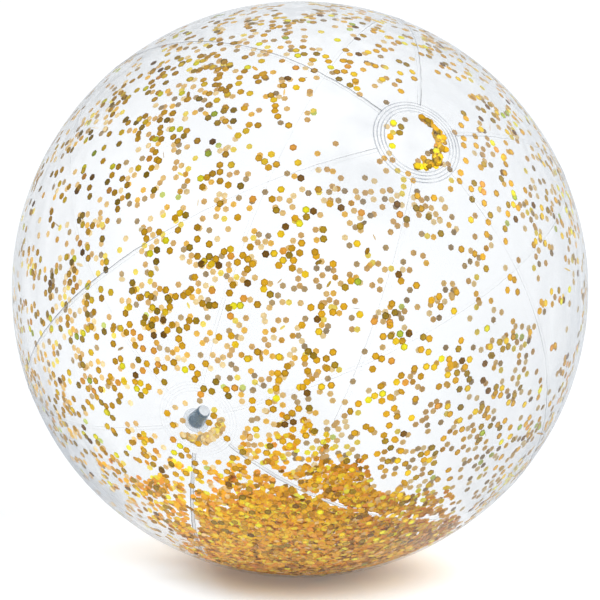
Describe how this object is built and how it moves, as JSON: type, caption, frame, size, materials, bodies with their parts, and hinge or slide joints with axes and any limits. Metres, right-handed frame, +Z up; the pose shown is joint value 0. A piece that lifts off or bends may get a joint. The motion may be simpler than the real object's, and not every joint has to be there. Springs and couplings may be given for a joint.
{
  "type": "inflatable beach ball",
  "caption": "Clear inflatable beach ball of welded panels and end caps, with a push-in air valve on a flexible web, a tethered plug, a check flap and loose gold glitter inside.",
  "frame": {"origin": "centre of the flat patch that the ball rests on, at floor level", "axes": "+Z up; -Y towards the plain end cap, whose middle is raised 36 degrees above the ball's centre; +Y towards the valve, 36 degrees below the centre on the far side; +X to the right seen along +Y"},
  "size_m": [0.4498, 0.45, 0.4488],
  "materials": {
    "clear_film": "clear soft vinyl film, glossy",
    "cap_film": "clear soft vinyl film with weld ridges, glossy",
    "soft_vinyl": "translucent soft moulded vinyl",
    "stem_vinyl": "translucent blue-grey moulded vinyl",
    "plug_vinyl": "translucent blue-grey moulded vinyl",
    "glitter": "gold metallised film flakes",
    "glitter_heap": "loose gold metallised film flakes"
  },
  "bodies": {
    "ball": {"gore_1": "clear_film", "gore_2": "clear_film", "gore_3": "clear_film", "gore_4": "clear_film", "gore_5": "clear_film", "gore_6": "clear_film", "front_cap": "cap_film", "rear_cap": "cap_film", "valve_flange": "soft_vinyl", "valve_diaphragm": "soft_vinyl", "clinging_flakes_1": "glitter", "clinging_flakes_2": "glitter", "clinging_flakes_3": "glitter", "clinging_flakes_4": "glitter", "clinging_flakes_5": "glitter", "clinging_flakes_6": "glitter", "front_pocket_flakes": "glitter", "rear_pocket_flakes": "glitter"},
    "stem": {"valve_stem": "stem_vinyl", "plug_strap": "stem_vinyl"},
    "plug": {"valve_plug": "plug_vinyl"},
    "flap": {"check_flap": "soft_vinyl"},
    "glitter": {"glitter_heap": "glitter_heap"}
  },
  "joints": [
    {"name": "valve_pop_out", "type": "slide", "parent": "ball", "child": "stem", "axis": [0, 0.809, -0.5878], "range_m": [0, 0.017], "deforming": ["valve_diaphragm"]},
    {"name": "plug_pull", "type": "slide", "parent": "stem", "child": "plug", "axis": [0, 0.809, -0.5878], "range_m": [0, 0.01], "deforming": ["plug_strap"]},
    {"name": "flap_open", "type": "hinge", "parent": "stem", "child": "flap", "pos_m": [0, 0.16604, 0.09762], "axis": [1, 0, 0], "range_deg": [0, 65], "stiffness_Nm_per_rad": 0.00002, "springref_deg": -8.59},
    {"name": "glitter_roll", "type": "hinge", "parent": "ball", "child": "glitter", "pos_m": [0, 0, 0.22382], "axis": [0, 1, 0], "continuous": true}
  ]
}
